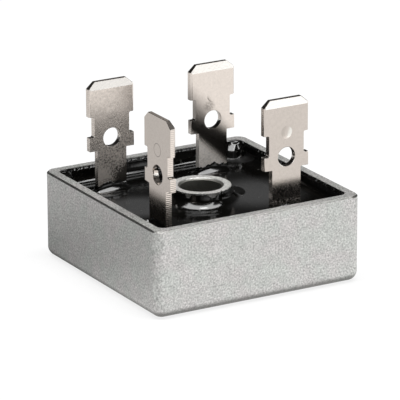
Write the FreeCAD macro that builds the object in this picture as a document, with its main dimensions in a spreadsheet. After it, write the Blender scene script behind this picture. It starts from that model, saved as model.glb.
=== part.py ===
"""Metal-case bridge rectifier with four push-on tabs, built as it comes apart on a bench.

A square aluminium cup carries a screw boss at its centre.  On its floor lie an insulating
plate, two copper plates, four diode chips and two copper straps, which make the bridge.
Four stamped tabs stand on the copper, and black potting compound fills the cup.

Lengths are in millimetres and angles in degrees.  +Z is up and the origin is the centre
of the case's base.  Seen from above, the positive tab is at -X -Y, the negative tab is at
+X +Y, and the two alternating-current tabs are at the other corners.
"""
import FreeCAD, Part
import math
import os
import re

import Sketcher
from FreeCAD import Placement, Rotation, Vector

# Driving dimensions: alias, value, meaning.
SIZES = [
    # case
    ("case_side", 28.6, "outside width of the square case"),
    ("case_height", 11.0, "height of the case from base to rim"),
    ("case_corner_radius", 1.4, "upright outer corners"),
    ("case_base_radius", 1.3, "rounding round the base"),
    ("rim_chamfer", 0.2, "broken outer edge of the rim"),
    ("wall_thickness", 1.25, "wall of the cup"),
    ("floor_thickness", 2.0, "heat-spreading floor of the cup"),
    ("cavity_corner_radius", 1.0, "upright inner corners"),
    ("cavity_floor_chamfer", 0.5, "slope between floor and walls"),
    ("boss_diameter", 7.5, "outside of the screw boss"),
    ("boss_drop", 0.3, "how far the boss stops below the rim"),
    ("boss_root_chamfer", 0.8, "slope between boss and floor"),
    ("screw_hole_diameter", 5.2, "clearance hole for the mounting screw"),
    ("screw_hole_chamfer", 0.25, "chamfer at both mouths of the screw hole"),
    # insulating plate
    ("insulator_thickness", 0.5, "ceramic sheet under the copper"),
    ("insulator_wall_gap", 0.8, "sheet's edge to the cup's wall"),
    ("insulator_boss_gap", 0.3, "sheet's hole to the boss's root"),
    # diode bridge
    ("plate_thickness", 0.8, "copper of the two plates and the two straps"),
    ("arm_width", 5.7, "width of each arm of a plate or strap"),
    ("arm_wall_gap", 1.45, "copper's outer edges to the cup's wall"),
    ("chip_side", 4.4, "square silicon chip"),
    ("chip_thickness", 0.3, "height of a chip"),
    ("chip_margin", 0.6, "copper left beyond a chip at an arm's end"),
    ("solder_thickness", 0.1, "every solder layer"),
    ("step_gap", 0.5, "end of a plate to the start of a strap's step"),
    ("step_run", 1.1, "length over which a strap steps down"),
    # tabs
    ("tab_thickness", 0.8, "sheet that the tabs are stamped from"),
    ("tip_height", 23.05, "case's base to the tips of the tabs"),
    ("blade_width", 6.3, "push-on blade"),
    ("blade_length", 4.4, "tip to the shoulders under the blade"),
    ("neck_width", 4.9, "neck between blade and ears"),
    ("neck_length", 2.65, "shoulders of the blade to the ears"),
    ("ear_width", 6.2, "across both ears"),
    ("ear_length", 1.75, "height of the ears"),
    ("stem_width", 4.0, "stem that goes down into the potting"),
    ("corner_run", 0.95, "width cut from each tip corner"),
    ("corner_rise", 0.85, "height cut from each tip corner"),
    ("bevel_height", 1.0, "lead-in bevel at the tip, up the front face"),
    ("bevel_depth", 0.3, "lead-in bevel at the tip, into the thickness"),
    ("blade_edge_bevel", 0.2, "bevel down the corners and long front edges of the blade"),
    ("shoulder_radius", 0.2, "inner corners of the neck"),
    ("eye_diameter", 2.4, "wire hole through each tab"),
    ("eye_drop", 0.25, "top of the ears down to the middle of the hole"),
    ("dimple_diameter", 1.6, "detent pressed into the front face"),
    ("dimple_depth", 0.18, "depth of the detent"),
    ("dimple_bulge", 0.06, "how far the detent swells the back face"),
    ("dimple_rise", 0.2, "shoulders of the blade up to the middle of the detent"),
    ("foot_length", 3.0, "back of the stem to the end of its bent foot"),
    ("bend_radius", 0.4, "inside of the bend between stem and foot"),
    # places of the tabs, from the cup's wall, the straps' steps or the middle between them
    ("left_tab_shift", 1.025, "middle between step and wall, in to the middle of the left tab"),
    ("right_tab_gap", 0.25, "foot of a strap's step to the stems of the right-hand tabs"),
    ("tab_row_gap", 4.2, "front or back wall to each row of tabs"),
    ("turned_tab_gap", 3.1, "left wall to the turned, positive tab"),
    ("turned_tab_setback", 5.45, "front wall to the turned, positive tab"),
    # potting
    ("potting_level", 8.85, "flat surface of the potting above the base"),
    ("potting_film", 0.12, "thickness where the potting creeps up a surface"),
    ("creep_height", 1.75, "how far it creeps up the wall and the boss"),
    ("creep_radius", 1.4, "hollow curve at the wall and the boss"),
    ("tab_creep_height", 1.0, "how far it creeps up a tab"),
    ("tab_creep_radius", 0.8, "hollow curve round a tab"),
]
ALIASES = [alias for alias, _, _ in SIZES]

# Heights that several pieces share, worked out from the driving dimensions.
COPPER_BASE = "floor_thickness + insulator_thickness"
COPPER_TOP = COPPER_BASE + " + plate_thickness"
CHIP_BASE = COPPER_TOP + " + solder_thickness"
CHIP_TOP = CHIP_BASE + " + chip_thickness"
STRAP_RISE = "plate_thickness + chip_thickness + 2 * solder_thickness"
FOOT_BASE = COPPER_TOP + " + solder_thickness"
TAB_HEIGHT = "tip_height - (" + FOOT_BASE + ")"
CAVITY_HALF = "(case_side / 2 - wall_thickness)"
CAVITY_SIDE = "(case_side - 2 * wall_thickness)"
ARM_OUTER = "(" + CAVITY_HALF + " - arm_wall_gap)"
ARM_INNER = "(" + ARM_OUTER + " - arm_width)"
ARM_MIDDLE = "(" + ARM_OUTER + " - arm_width / 2)"
ARM_END = "(chip_side / 2 + chip_margin)"
STEP_FOOT = "(" + ARM_END + " + step_gap + step_run)"
TAB_ROW = "(" + CAVITY_HALF + " - tab_row_gap)"
RIGHT_TAB = "(" + STEP_FOOT + " + right_tab_gap + stem_width / 2)"
LEFT_TAB = "((" + STEP_FOOT + " + " + CAVITY_HALF + ") / 2 - left_tab_shift)"

# Corner of the case: name, X of the tab, Y of the tab, turn of the tab about Z.
TABS = [
    ("positive", "(turned_tab_gap - %s)" % CAVITY_HALF,
     "(turned_tab_setback - %s)" % CAVITY_HALF, 90),
    ("negative", RIGHT_TAB, TAB_ROW, 0),
    ("ac_left", "-" + LEFT_TAB, TAB_ROW, 0),
    ("ac_right", RIGHT_TAB, "-" + TAB_ROW, 0),
]
# Tabs whose detent is pressed into the back face, so that the front shows its swelling.
PRESSED_FROM_BEHIND = ("negative", "ac_left")
# Side of the case on which each chip lies, with the middle of the chip.
CHIPS = [
    ("left", "-" + ARM_MIDDLE, "0"),
    ("front", "0", "-" + ARM_MIDDLE),
    ("right", ARM_MIDDLE, "0"),
    ("back", "0", ARM_MIDDLE),
]

doc = FreeCAD.newDocument("bridge_rectifier")
NEAR = 1e-4


def fill_sheet():
    """Write the driving dimensions into the document's sheet."""
    table = doc.addObject("Spreadsheet::Sheet", "sizes")
    for row, (alias, number, meaning) in enumerate(SIZES, start=1):
        table.set("A%d" % row, alias)
        table.set("B%d" % row, str(number))
        table.set("C%d" % row, meaning)
        table.setAlias("B%d" % row, alias)
    doc.recompute()
    return table


sheet = fill_sheet()


def formula(text):
    """Point every alias in a formula at its cell."""
    def cell(word):
        name = word.group()
        return "sizes." + name if name in ALIASES else name
    return re.sub(r"[a-z_]+", cell, text)


def number(text):
    """Work a formula out from the sheet."""
    return float(sheet.evalExpression(formula(text)))


# --- drawing -------------------------------------------------------------------------

def new_body(name):
    """Start a piece that is made from sketches."""
    body = doc.addObject("PartDesign::Body", name)
    body.Label = name
    return body


def new_sketch(body, name, plane="XY_Plane", height="0"):
    """Add a sketch on one of the body's own planes, moved off it by height."""
    sketch = body.newObject("Sketcher::SketchObject", name)
    origin = [item for item in body.Origin.OriginFeatures if item.Role == plane][0]
    sketch.AttachmentSupport = [(origin, "")]
    sketch.MapMode = "FlatFace"
    sketch.setExpression("AttachmentOffset.Base.z", formula(height))
    return sketch


def pin_point(sketch, line, point, across, up):
    """Hold one end of a line at a place given by two formulas."""
    for kind, text in (("DistanceX", across), ("DistanceY", up)):
        index = sketch.addConstraint(
            Sketcher.Constraint(kind, -1, 1, line, point, number(text)))
        sketch.setExpression("Constraints[%d]" % index, formula(text))


def draw_outline(sketch, corners):
    """Draw a closed outline through corners that are given by formulas."""
    places = [Vector(number(across), number(up), 0) for across, up in corners]
    lines = [sketch.addGeometry(Part.LineSegment(start, end))
             for start, end in zip(places, places[1:] + places[:1])]
    for line, following in zip(lines, lines[1:] + lines[:1]):
        sketch.addConstraint(Sketcher.Constraint("Coincident", line, 2, following, 1))
    for line, (across, up) in zip(lines, corners):
        pin_point(sketch, line, 1, across, up)


def draw_box(sketch, left, right, low, high):
    """Draw an upright rectangle between four formulas."""
    draw_outline(sketch, [(left, low), (right, low), (right, high), (left, high)])


def draw_square(sketch, side):
    """Draw a square about the sketch's origin."""
    half = "(%s) / 2" % side
    draw_box(sketch, "-" + half, half, "-" + half, half)


def draw_circle(sketch, diameter, across="0", up="0"):
    """Draw a circle by its diameter and the place of its centre."""
    centre = Vector(number(across), number(up), 0)
    ring = sketch.addGeometry(Part.Circle(centre, Vector(0, 0, 1), number(diameter) / 2))
    index = sketch.addConstraint(Sketcher.Constraint("Diameter", ring, number(diameter)))
    sketch.setExpression("Constraints[%d]" % index, formula(diameter))
    pin_point(sketch, ring, 3, across, up)


# --- solid features ------------------------------------------------------------------

def grow(body, kind, sketch, length, reverse=False, both_ways=False):
    """Pad or pocket a sketch by a length."""
    feature = body.newObject("PartDesign::" + kind, kind + sketch.Name)
    feature.Profile = sketch
    feature.setExpression("Length", formula(length))
    feature.Reversed = reverse
    feature.Midplane = both_ways
    sketch.Visibility = False
    doc.recompute()
    return feature


def turn(body, kind, sketch, axis):
    """Revolve or groove a sketch a full turn about one of its own axes."""
    feature = body.newObject("PartDesign::" + kind, kind + sketch.Name)
    feature.Profile = sketch
    feature.ReferenceAxis = (sketch, [axis])
    feature.Angle = 360
    doc.recompute()
    return feature


def edge_names(shape, wanted):
    """Name the edges that pass a test on the edge."""
    return ["Edge%d" % count for count, edge in enumerate(shape.Edges, start=1)
            if wanted(edge)]


def soften(body, kind, size, wanted):
    """Fillet or chamfer the edges of the body that pass a test."""
    carrier = body.Tip
    feature = body.newObject("PartDesign::" + kind, kind + body.Name)
    feature.Base = (carrier, edge_names(carrier.Shape, wanted))
    feature.setExpression("Radius" if kind == "Fillet" else "Size", formula(size))
    doc.recompute()
    return feature


def lies_at_height(edge, height):
    """True for an edge that lies level at a height."""
    box = edge.BoundBox
    return abs(box.ZMin - height) < NEAR and abs(box.ZMax - height) < NEAR


def stands_up(edge):
    """True for a straight edge that runs within a few degrees of upright."""
    box = edge.BoundBox
    return box.ZLength > 10 * max(box.XLength, box.YLength)


def distance_out(edge):
    """How far an edge's middle lies from the case's centre, along X or Y."""
    centre = edge.BoundBox.Center
    return max(abs(centre.x), abs(centre.y))


# --- case ----------------------------------------------------------------------------

def make_case():
    """Cast cup with a screw boss: draw the block, hollow it, raise the boss, round it."""
    body = new_body("heat_sink_case")
    rim = number("case_height")
    floor = number("floor_thickness")

    block = new_sketch(body, "case_outline")
    draw_square(block, "case_side")
    grow(body, "Pad", block, "case_height")
    soften(body, "Fillet", "case_corner_radius", stands_up)
    soften(body, "Fillet", "case_base_radius", lambda edge: lies_at_height(edge, 0))

    hollow = new_sketch(body, "cavity_outline", height="case_height")
    draw_square(hollow, CAVITY_SIDE)
    grow(body, "Pocket", hollow, "case_height - floor_thickness")
    inner = number(CAVITY_HALF)
    soften(body, "Fillet", "cavity_corner_radius",
           lambda edge: stands_up(edge) and distance_out(edge) < inner + NEAR)
    soften(body, "Chamfer", "cavity_floor_chamfer",
           lambda edge: lies_at_height(edge, floor))

    boss = new_sketch(body, "boss_outline", height="floor_thickness")
    draw_circle(boss, "boss_diameter")
    grow(body, "Pad", boss, "case_height - boss_drop - floor_thickness")
    soften(body, "Chamfer", "boss_root_chamfer",
           lambda edge: edge.Closed and lies_at_height(edge, floor))

    hole = new_sketch(body, "screw_hole")
    draw_circle(hole, "screw_hole_diameter")
    grow(body, "Pocket", hole, "case_height", reverse=True)
    bore = number("screw_hole_diameter") + NEAR
    soften(body, "Chamfer", "screw_hole_chamfer",
           lambda edge: edge.Closed and edge.BoundBox.XLength < bore)
    soften(body, "Chamfer", "rim_chamfer",
           lambda edge: lies_at_height(edge, rim) and distance_out(edge) > inner + NEAR)
    return body


# --- bridge --------------------------------------------------------------------------

def make_insulator():
    """Ceramic sheet that keeps the copper off the case."""
    body = new_body("insulating_plate")
    outline = new_sketch(body, "insulator_outline", height="floor_thickness")
    draw_square(outline, CAVITY_SIDE + " - 2 * insulator_wall_gap")
    draw_circle(outline, "boss_diameter + 2 * (boss_root_chamfer + insulator_boss_gap)")
    grow(body, "Pad", outline, "insulator_thickness")
    return body


def make_plate(name, half_turn):
    """L-shaped copper plate whose two arms each carry one chip."""
    body = new_body(name)
    outline = new_sketch(body, name + "_outline", height=COPPER_BASE)
    draw_outline(outline, [
        ("-" + ARM_OUTER, "-" + ARM_OUTER),
        (ARM_END, "-" + ARM_OUTER),
        (ARM_END, "-" + ARM_INNER),
        ("-" + ARM_INNER, "-" + ARM_INNER),
        ("-" + ARM_INNER, ARM_END),
        ("-" + ARM_OUTER, ARM_END),
    ])
    grow(body, "Pad", outline, "plate_thickness")
    body.Placement.Rotation = Rotation(Vector(0, 0, 1), half_turn)
    return body


def strap_profile(side):
    """Side view of a strap's arm: over the chip, then a step down to the ceramic.

    side is "-" where the arm runs from its chip towards negative values, and "" where it
    runs towards positive values.
    """
    chip_end = "(-%s)" % ARM_END
    step_top = "(%s + step_gap)" % ARM_END
    low, high = COPPER_BASE, COPPER_BASE + " + " + STRAP_RISE
    thick = " + plate_thickness"
    corners = [
        (chip_end, high), (step_top, high), (STEP_FOOT, low), (ARM_OUTER, low),
        (ARM_OUTER, low + thick), (STEP_FOOT, low + thick),
        (step_top, high + thick), (chip_end, high + thick),
    ]
    return [(side + "(" + across + ")", up) for across, up in corners]


def make_strap(name, half_turn):
    """Copper strap for one alternating-current corner, stepped over two chips."""
    body = new_body(name)
    over_left = new_sketch(body, name + "_left", "YZ_Plane", "-" + ARM_OUTER)
    draw_outline(over_left, strap_profile(""))
    grow(body, "Pad", over_left, "arm_width")
    over_back = new_sketch(body, name + "_back", "XZ_Plane", "-" + ARM_OUTER)
    draw_outline(over_back, strap_profile("-"))
    grow(body, "Pad", over_back, "arm_width")
    body.Placement.Rotation = Rotation(Vector(0, 0, 1), half_turn)
    return body


def make_layer(name, lengths, place):
    """Plain flat layer, such as a chip or its solder, by its three lengths and place."""
    layer = doc.addObject("Part::Box", name)
    layer.Label = name
    for side, text in zip(("Length", "Width", "Height"), lengths):
        layer.setExpression(side, formula(text))
    for axis, text in zip("xyz", place):
        layer.setExpression("Placement.Base." + axis, formula(text))
    return layer


def make_chip_stack(side, middle_x, middle_y):
    """One diode chip between its two solder layers."""
    corner = (middle_x + " - chip_side / 2", middle_y + " - chip_side / 2")
    layers = [
        ("chip_solder_lower_" + side, "solder_thickness", COPPER_TOP),
        ("diode_chip_" + side, "chip_thickness", CHIP_BASE),
        ("chip_solder_upper_" + side, "solder_thickness", CHIP_TOP),
    ]
    return [make_layer(name, ("chip_side", "chip_side", thick), corner + (base,))
            for name, thick, base in layers]


# --- tabs ----------------------------------------------------------------------------

def tab_outline():
    """Right-hand half of the stamped outline, from foot to tip."""
    blade_foot = TAB_HEIGHT + " - blade_length"
    ear_top = blade_foot + " - neck_length"
    ear_foot = ear_top + " - ear_length"
    return [
        ("stem_width / 2", "0"), ("stem_width / 2", ear_foot),
        ("ear_width / 2", ear_foot), ("ear_width / 2", ear_top),
        ("neck_width / 2", ear_top), ("neck_width / 2", blade_foot),
        ("blade_width / 2", blade_foot),
        ("blade_width / 2", TAB_HEIGHT + " - corner_rise"),
        ("blade_width / 2 - corner_run", TAB_HEIGHT),
    ]


def press_detent(body, from_behind):
    """Press the round detent into the front or the back face and swell the other face."""
    middle = TAB_HEIGHT + " - blade_length + dimple_rise"
    pressed, swollen = "-tab_thickness / 2", "tab_thickness / 2"
    if from_behind:
        pressed, swollen = swollen, pressed
    for kind, word, depth, face in (
            ("Groove", "_dimple", "dimple_depth", pressed),
            ("Revolution", "_bulge", "dimple_bulge", swollen)):
        cap = new_sketch(body, body.Name + word, "YZ_Plane")
        if from_behind:
            cap.AttachmentOffset = Placement(Vector(), Rotation(Vector(0, 1, 0), 180))
        cap.setExpression("AttachmentOffset.Base.x", formula(face))
        cap.setExpression("AttachmentOffset.Base.y", formula(middle))
        draw_cap(cap, "dimple_diameter / 2", depth)
        turn(body, kind, cap, "H_Axis")


def draw_cap(sketch, rim, depth):
    """Draw half of a shallow round cap: its axis, its bowed side and its flat."""
    reach, deep = number(rim), number(depth)
    radius = (reach ** 2 + deep ** 2) / (2 * deep)
    circle = Part.Circle(Vector(deep - radius, 0, 0), Vector(0, 0, 1), radius)
    axis = sketch.addGeometry(Part.LineSegment(Vector(0, 0, 0), Vector(deep, 0, 0)))
    bow = sketch.addGeometry(Part.ArcOfCircle(circle, 0, math.asin(reach / radius)))
    flat = sketch.addGeometry(Part.LineSegment(Vector(0, reach, 0), Vector(0, 0, 0)))
    for line, following in ((axis, bow), (bow, flat), (flat, axis)):
        sketch.addConstraint(Sketcher.Constraint("Coincident", line, 2, following, 1))
    pin_point(sketch, axis, 1, "0", "0")
    pin_point(sketch, axis, 2, depth, "0")
    pin_point(sketch, flat, 1, "0", rim)
    sketch.addConstraint(Sketcher.Constraint("PointOnObject", bow, 3, -1))


def make_tab(name, middle_x, middle_y, quarter_turn, pressed_from_behind):
    """Stamped tab with a bent foot; its front face looks along -Y before it is turned."""
    body = new_body(name)
    outline = new_sketch(body, name + "_outline", "XZ_Plane")
    right = tab_outline()
    left = [("-(" + across + ")", up) for across, up in reversed(right)]
    draw_outline(outline, right + left)
    grow(body, "Pad", outline, "tab_thickness", both_ways=True)

    eye = new_sketch(body, name + "_eye", "XZ_Plane")
    draw_circle(eye, "eye_diameter",
                up=TAB_HEIGHT + " - blade_length - neck_length - eye_drop")
    grow(body, "Pocket", eye, "2 * tab_thickness", both_ways=True)

    foot = new_sketch(body, name + "_foot")
    draw_box(foot, "-stem_width / 2", "stem_width / 2",
             "tab_thickness / 2 - foot_length", "tab_thickness / 2")
    grow(body, "Pad", foot, "tab_thickness")
    round_tab(body)
    press_detent(body, pressed_from_behind)
    body.setExpression("Placement.Base.x", formula(middle_x))
    body.setExpression("Placement.Base.y", formula(middle_y))
    body.setExpression("Placement.Base.z", formula(FOOT_BASE))
    body.Placement.Rotation = Rotation(Vector(0, 0, 1), quarter_turn)
    return body


def round_tab(body):
    """Bend, shoulder radii, tip bevel and edge bevels of a tab."""
    back = number("tab_thickness / 2")
    tip = number(TAB_HEIGHT)
    blade_foot = number(TAB_HEIGHT + " - blade_length")
    ear_top = number(TAB_HEIGHT + " - blade_length - neck_length")
    neck = number("neck_width / 2")

    def crosses_at(edge, depth, height):
        centre = edge.BoundBox.Center
        return (edge.BoundBox.XLength > neck and abs(centre.y - depth) < NEAR
                and abs(centre.z - height) < NEAR)

    def is_shoulder(edge):
        centre = edge.BoundBox.Center
        return (edge.BoundBox.YLength > back and abs(abs(centre.x) - neck) < NEAR
                and min(abs(centre.z - blade_foot), abs(centre.z - ear_top)) < NEAR)

    def lies_in_front(edge):
        box = edge.BoundBox
        return abs(box.YMin + back) < NEAR and abs(box.YMax + back) < NEAR

    def is_tip_edge(edge):
        return lies_in_front(edge) and lies_at_height(edge, tip)

    def is_blade_side(edge):
        box = edge.BoundBox
        return (lies_in_front(edge) and box.ZMin > blade_foot - NEAR
                and box.ZLength > number("corner_rise") / 2)

    inner_bend = (-back, 2 * back)
    soften(body, "Fillet", "bend_radius", lambda edge: crosses_at(edge, *inner_bend))
    soften(body, "Fillet", "bend_radius + tab_thickness",
           lambda edge: crosses_at(edge, back, 0))
    soften(body, "Fillet", "shoulder_radius", is_shoulder)
    bevel = soften(body, "Chamfer", "bevel_depth", is_tip_edge)
    bevel.ChamferType = "Two distances"
    bevel.setExpression("Size2", formula("bevel_height"))
    doc.recompute()
    soften(body, "Chamfer", "blade_edge_bevel", is_blade_side)


def make_tab_solder(name, middle_x, middle_y, quarter_turn):
    """Solder under the flat of a tab's foot."""
    body = new_body(name)
    layer = new_sketch(body, name + "_outline")
    draw_box(layer, "-stem_width / 2", "stem_width / 2",
             "tab_thickness / 2 - foot_length", "-tab_thickness / 2 - bend_radius")
    grow(body, "Pad", layer, "solder_thickness")
    body.setExpression("Placement.Base.x", formula(middle_x))
    body.setExpression("Placement.Base.y", formula(middle_y))
    body.setExpression("Placement.Base.z", formula(COPPER_TOP))
    body.Placement.Rotation = Rotation(Vector(0, 0, 1), quarter_turn)
    return body


# --- potting -------------------------------------------------------------------------

def make_fill():
    """Block of potting as it sets: level in the middle, creeping up what it touches."""
    body = new_body("fill")
    block = new_sketch(body, "fill_outline", height="floor_thickness / 2")
    draw_square(block, "case_side - wall_thickness")
    grow(body, "Pad", block, "potting_level + creep_height - floor_thickness / 2")
    air = new_sketch(body, "fill_air", height="potting_level + creep_height")
    draw_square(air, CAVITY_SIDE + " - 2 * potting_film")
    grow(body, "Pocket", air, "creep_height")
    level = number("potting_level")
    soften(body, "Fillet", "cavity_corner_radius",
           lambda edge: stands_up(edge) and edge.BoundBox.ZMin > level - NEAR
           and distance_out(edge) < number(CAVITY_HALF))

    collar = new_sketch(body, "fill_collar", height="potting_level")
    draw_circle(collar, "boss_diameter + 2 * potting_film")
    grow(body, "Pad", collar, "creep_height")
    soften(body, "Fillet", "creep_radius", lambda edge: lies_at_height(edge, level))
    for name, middle_x, middle_y, quarter_turn in TABS:
        raise_skirt(body, name, middle_x, middle_y, quarter_turn)

    core = new_sketch(body, "fill_core", height="floor_thickness / 2")
    draw_circle(core, "(boss_diameter + screw_hole_diameter) / 2")
    grow(body, "Pocket", core, "case_height", reverse=True)
    return body


def raise_skirt(body, name, middle_x, middle_y, quarter_turn):
    """Creep of the potting round the stem of one tab."""
    wide, thin = "stem_width / 2 + potting_film", "tab_thickness / 2 + potting_film"
    across, along = (thin, wide) if quarter_turn else (wide, thin)
    skirt = new_sketch(body, "skirt_" + name, height="potting_level")
    draw_box(skirt, "%s - (%s)" % (middle_x, across), "%s + %s" % (middle_x, across),
             "%s - (%s)" % (middle_y, along), "%s + %s" % (middle_y, along))
    grow(body, "Pad", skirt, "tab_creep_height")
    level = number("potting_level")
    centre = Vector(number(middle_x), number(middle_y), level)
    reach = number("stem_width / 2 + potting_film") + NEAR

    def is_root(edge):
        offset = edge.BoundBox.Center - centre
        return (lies_at_height(edge, level) and max(abs(offset.x), abs(offset.y)) < reach
                and edge.Length < number("stem_width") * 2)

    soften(body, "Fillet", "tab_creep_radius", is_root)


def make_potting(case, buried):
    """Potting compound: the fill without the case and everything that it buries."""
    tools = doc.addObject("Part::MultiFuse", "buried_pieces")
    tools.Shapes = [case] + buried
    potting = doc.addObject("Part::Cut", "potting_compound")
    potting.Base = make_fill()
    potting.Tool = tools
    potting.Label = "potting_compound"
    return potting


# --- assembly ------------------------------------------------------------------------

def make_rectifier():
    """Make every piece, from the case up, and return them."""
    case = make_case()
    inner = [
        make_insulator(),
        make_plate("positive_plate", 0),
        make_plate("negative_plate", 180),
        make_strap("ac_strap_left", 0),
        make_strap("ac_strap_right", 180),
    ]
    for side, middle_x, middle_y in CHIPS:
        inner += make_chip_stack(side, middle_x, middle_y)
    for name, middle_x, middle_y, quarter_turn in TABS:
        inner.append(make_tab_solder("terminal_solder_" + name, middle_x, middle_y,
                                     quarter_turn))
        inner.append(make_tab("terminal_" + name, middle_x, middle_y, quarter_turn,
                              name in PRESSED_FROM_BEHIND))
    return [case] + inner + [make_potting(case, inner)]


def check_document(pieces):
    """Stop if a feature failed or a piece is not one valid solid."""
    for item in doc.Objects:
        if {"Invalid", "Error"} & set(item.State):
            raise RuntimeError("%s failed: %s" % (item.Name, item.State))
    for piece in pieces:
        shape = piece.Shape
        if shape.isNull() or not shape.isValid() or len(shape.Solids) != 1:
            raise RuntimeError("%s is not one valid solid" % piece.Label)


def export_pieces(pieces):
    """Write each piece to a STEP file named after it."""
    os.makedirs("parts", exist_ok=True)
    for piece in pieces:
        piece.Shape.exportStep(os.path.join("parts", piece.Label + ".step"))
        print("%-28s %9.3f mm3" % (piece.Label, piece.Shape.Volume))


rectifier = make_rectifier()
doc.recompute()
check_document(rectifier)
export_pieces(rectifier)
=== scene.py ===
# %% [markdown]
# # Bridge rectifier: the dressed model
# This notebook dresses a potted bridge rectifier. The CAD model gives every
# solid its size and place, and this script gives each one the finish that the
# real part has: a blasted aluminium cup, glossy black potting that creeps up
# whatever it touches, and tinned push-on tabs. Most of a small metal part's
# look is finish and light, so a CAD solid is kept wherever its shape is right.

# %% Load the frame
import math
from types import SimpleNamespace

import bmesh
import bpy
from mathutils import Matrix, Quaternion, Vector, noise


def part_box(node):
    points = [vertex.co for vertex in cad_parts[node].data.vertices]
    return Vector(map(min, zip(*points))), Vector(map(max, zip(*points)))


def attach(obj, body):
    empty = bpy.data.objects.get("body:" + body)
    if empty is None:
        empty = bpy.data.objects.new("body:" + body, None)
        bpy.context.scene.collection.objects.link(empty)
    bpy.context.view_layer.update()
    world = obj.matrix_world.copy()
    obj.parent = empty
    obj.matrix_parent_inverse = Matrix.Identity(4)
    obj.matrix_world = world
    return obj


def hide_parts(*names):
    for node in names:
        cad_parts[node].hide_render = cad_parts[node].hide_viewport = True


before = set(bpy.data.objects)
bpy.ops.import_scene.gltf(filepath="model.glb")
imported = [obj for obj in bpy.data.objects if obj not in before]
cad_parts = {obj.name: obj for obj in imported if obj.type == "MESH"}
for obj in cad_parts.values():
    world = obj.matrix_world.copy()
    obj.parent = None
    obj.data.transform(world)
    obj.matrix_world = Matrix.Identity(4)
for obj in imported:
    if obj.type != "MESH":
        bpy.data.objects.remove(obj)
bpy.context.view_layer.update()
scene = bpy.context.scene
MM = 0.001


def in_mm(vector):
    """A place in millimetres, short enough to print."""
    return [round(value / MM, 2) for value in vector]


# %% [markdown]
# The places of the pieces come from the boxes of the CAD nodes. Reading them
# here, once, means that a changed CAD size moves everything that this script
# adds. The level of the potting has to be typed, because the box of the
# potting only tells how far it creeps above that level.

# %% Read the places from the CAD
LEVEL = 8.85
TAB_NAMES = ("positive", "negative", "ac_left", "ac_right")
POTTING_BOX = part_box("potting_compound")
POTTING_FLOOR = Vector(POTTING_BOX[0]).z / MM
CAVITY_HALF = Vector(POTTING_BOX[1]).x / MM
TAB_BOXES = {name: [Vector(corner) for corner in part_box("terminal_" + name)]
             for name in TAB_NAMES}
CASE_HALF = Vector(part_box("heat_sink_case")[1]).x / MM
print("wall of the cup:", round(CASE_HALF - CAVITY_HALF, 2), "mm thick")
print("potting: from", round(POTTING_FLOOR, 2), "mm up to its level at", LEVEL, "mm")
for name, (low, high) in TAB_BOXES.items():
    print("tab", name, in_mm(low), in_mm(high))

# %% [markdown]
# A camera far away with a long lens shows a small part as a catalogue does,
# with its edges almost parallel. The camera is placed by its compass angle,
# its height angle and its distance from the point that it looks at, because
# these are easier to reason about than three coordinates.

# %% Camera
CAMERA_TURN = math.radians(-29.99)
CAMERA_RISE = math.radians(18.27)
CAMERA_ROLL = math.radians(-0.18)
CAMERA_DISTANCE = 471.4 * MM
CAMERA_LENS = 345.0
AIM_POINT = Vector((0.48, 1.03, 8.33)) * MM


def direction(turn, rise):
    """The unit step toward a compass angle and a height, both in radians."""
    return Vector((math.sin(turn) * math.cos(rise),
                   -math.cos(turn) * math.cos(rise),
                   math.sin(rise)))


def look_along(thing, aim, roll):
    """Turns a camera so that its -Z axis points at the aim."""
    toward = (aim - thing.location).to_track_quat("-Z", "Y")
    thing.rotation_euler = (toward @ Quaternion((0, 0, 1), roll)).to_euler()


camera_data = bpy.data.cameras.new("studio_camera")
camera_data.lens = CAMERA_LENS
camera_data.sensor_width = 36.0
camera_data.clip_start = 10 * MM
camera_data.clip_end = 20.0
camera = bpy.data.objects.new("studio_camera", camera_data)
scene.collection.objects.link(camera)
camera.location = AIM_POINT + direction(CAMERA_TURN, CAMERA_RISE) * CAMERA_DISTANCE
look_along(camera, AIM_POINT, CAMERA_ROLL)
scene.camera = camera
print("camera at", in_mm(camera.location), "mm")

# %% [markdown]
# Node trees are easier to read as sums than as wires. One small class wraps a
# node's output socket and gives it Python's operators, so that
# `0.5 + 0.2 * grain` adds its two Math nodes by itself. Every other node comes
# from its `make` method: settings first, because some of them change which
# sockets there are, and then the values or the links of the sockets.

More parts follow.
